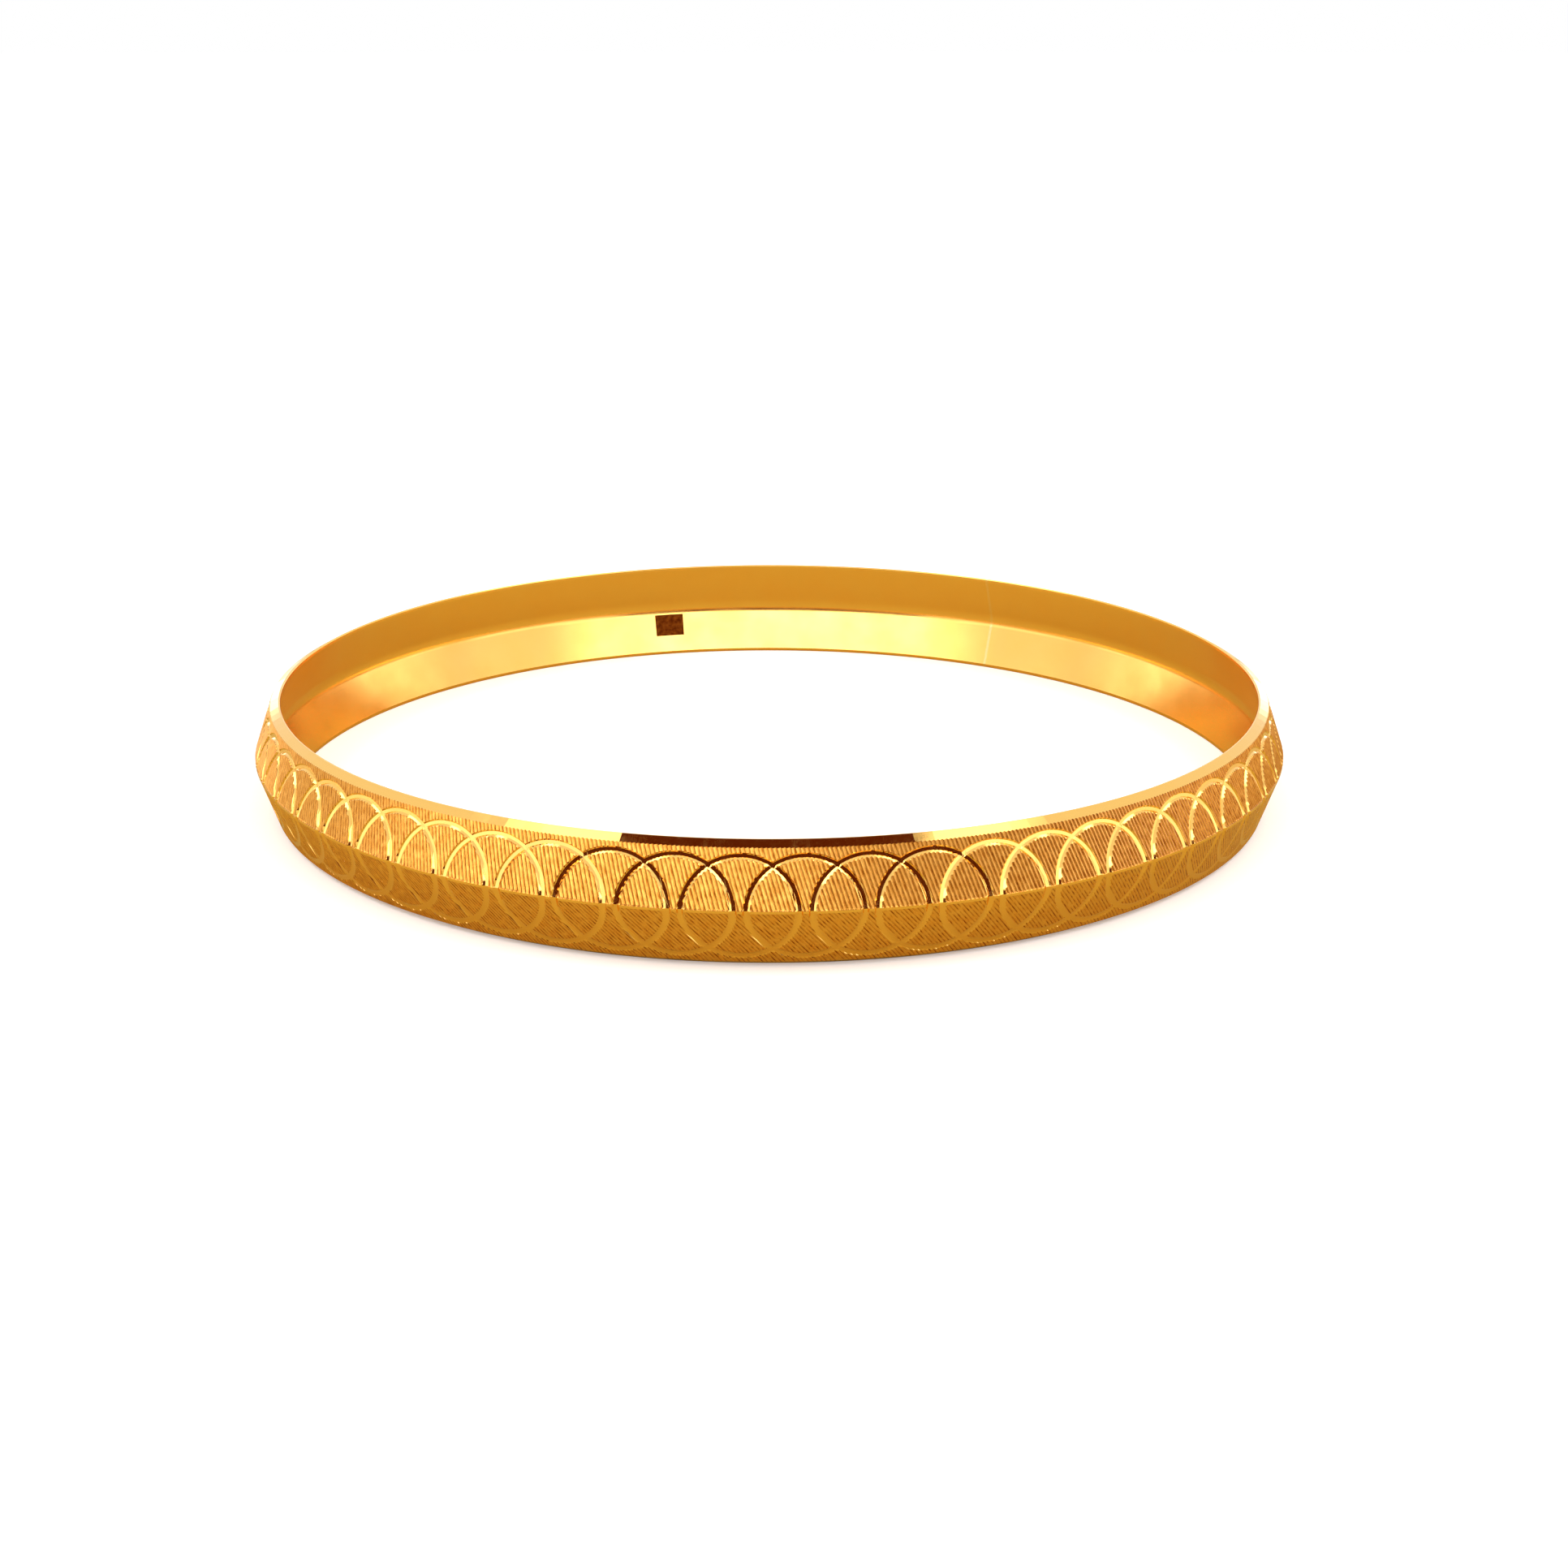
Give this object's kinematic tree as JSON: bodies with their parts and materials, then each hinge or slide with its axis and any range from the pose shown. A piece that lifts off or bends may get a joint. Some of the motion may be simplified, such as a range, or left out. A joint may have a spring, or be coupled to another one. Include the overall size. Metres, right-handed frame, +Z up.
{
  "type": "bangle bracelet",
  "caption": "Rigid closed wrist bangle: a soldered ring of V-section gold strip with overlapping engraved circles on a fine hatched ground and polished rims.",
  "frame": {"origin": "centre of the plane that the bangle rests on, on the ring's axis", "axes": "+Z up along the ring's axis, from the lower rim to the upper rim; -Y is the front of the ring as pictured, +X to the viewer's right; the solder joint is at the back right"},
  "size_m": [0.0638, 0.0638, 0.0067],
  "materials": {
    "gold_strip": "22 karat yellow gold, polished, with bright-cut and hatched engraving outside",
    "gold_solder": "paler gold solder, dressed flush"
  },
  "bodies": {
    "root": {"band": "gold_strip", "solder_joint": "gold_solder"}
  },
  "joints": []
}
